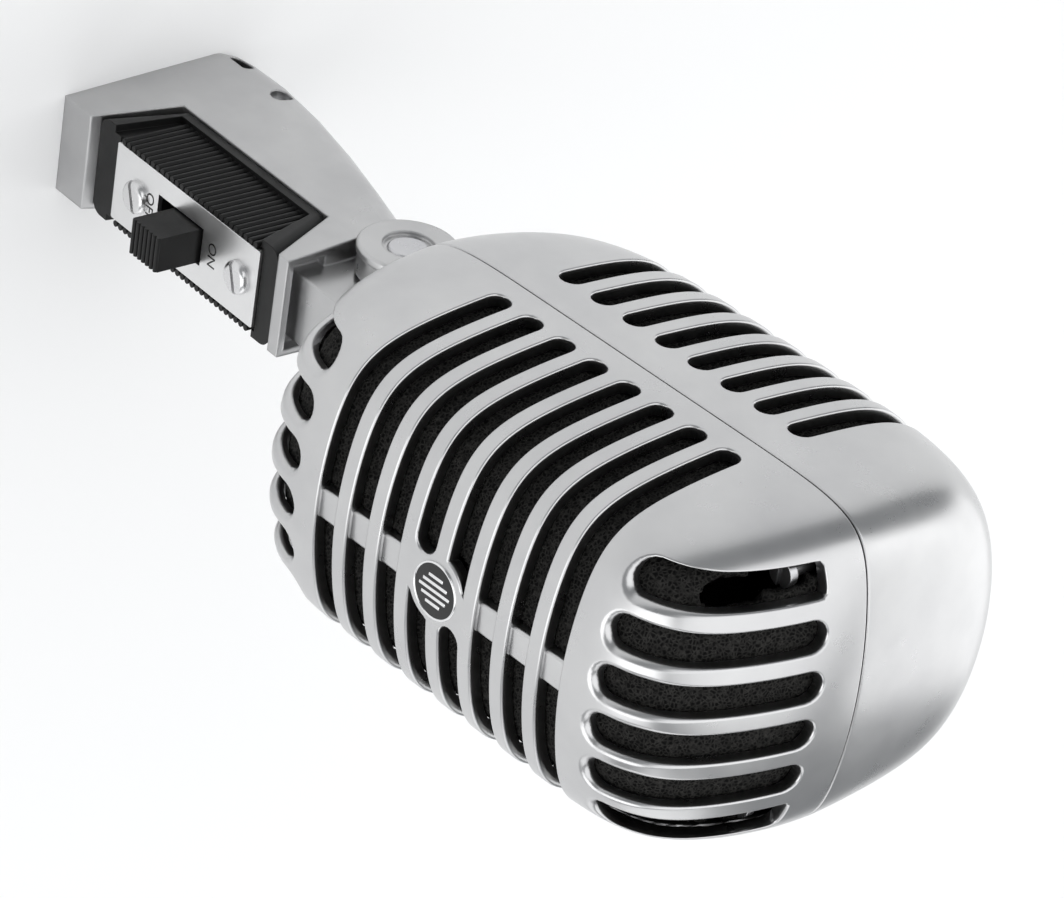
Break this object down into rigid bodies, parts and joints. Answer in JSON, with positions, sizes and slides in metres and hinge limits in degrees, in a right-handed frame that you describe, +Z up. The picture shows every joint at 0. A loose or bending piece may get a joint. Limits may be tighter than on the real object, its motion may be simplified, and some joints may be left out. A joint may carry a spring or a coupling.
{
  "type": "vocal microphone",
  "caption": "Vintage-style moving-coil vocal microphone: slotted die-cast head with foam liner on a tilting swivel base with slide switch, stand thread and plug socket.",
  "frame": {"origin": "centre of the stand thread's mouth in the foot's flat underside", "axes": "+Z up along the stand thread's axis, -Y forward towards the singer (nameplate side), +X across"},
  "size_m": [0.057, 0.0792, 0.1906],
  "materials": {
    "die_cast_shell": "satin plated",
    "die_cast_base": "satin plated",
    "foam": "open-cell foam",
    "badge_enamel": "enamelled disc with raised bright rings",
    "steel_screw": "plain",
    "bright_screw": "polished",
    "steel_pin": "satin",
    "spring_steel": "plain",
    "cartridge_metal": "plain",
    "soft_iron": "plain",
    "magnet_alloy": "ground",
    "copper": "enamelled wire",
    "polyester_film": "thin film",
    "black_plastic": "moulded",
    "bezel_plastic": "moulded, ribbed",
    "shock_rubber": "soft",
    "bracket_steel": "plated",
    "coil_tape": "wound and taped",
    "lead_insulation": "insulated wire",
    "contact_brass": "plated",
    "plate_metal": "satin"
  },
  "bodies": {
    "base": {"base_housing": "die_cast_base", "connector_insert": "black_plastic", "connector_pins": "contact_brass", "connector_set_screw": "steel_screw", "tension_screw": "steel_screw", "tension_pad": "contact_brass", "switch_bezel": "bezel_plastic", "nameplate": "plate_metal", "nameplate_screws": "bright_screw", "switch_body": "black_plastic", "switch_terminals": "contact_brass", "base_leads": "lead_insulation"},
    "head": {"front_shell": "die_cast_shell", "rear_shell": "die_cast_shell", "front_foam": "foam", "rear_foam": "foam", "badge": "badge_enamel", "shell_screws": "steel_screw", "swivel_yoke": "die_cast_base", "yoke_screws": "steel_screw", "hinge_pin": "steel_pin", "friction_washers": "spring_steel", "cartridge_cup": "cartridge_metal", "magnet_yoke": "soft_iron", "magnet": "magnet_alloy", "pole_piece": "soft_iron", "voice_coil": "copper", "diaphragm": "polyester_film", "resonator_plate": "black_plastic", "shock_mounts": "shock_rubber", "cartridge_bracket": "bracket_steel", "transformer_core": "soft_iron", "transformer_coil": "coil_tape", "head_leads": "lead_insulation"},
    "slider": {"switch_knob": "bezel_plastic", "switch_contact": "contact_brass"}
  },
  "joints": [
    {"name": "head_tilt", "type": "hinge", "parent": "base", "child": "head", "pos_m": [0, 0.0096, 0.0698], "axis": [1, 0, 0], "range_deg": [-75, 45]},
    {"name": "switch_slide", "type": "slide", "parent": "base", "child": "slider", "axis": [0, 0, 1], "range_m": [-0.004, 0]}
  ]
}
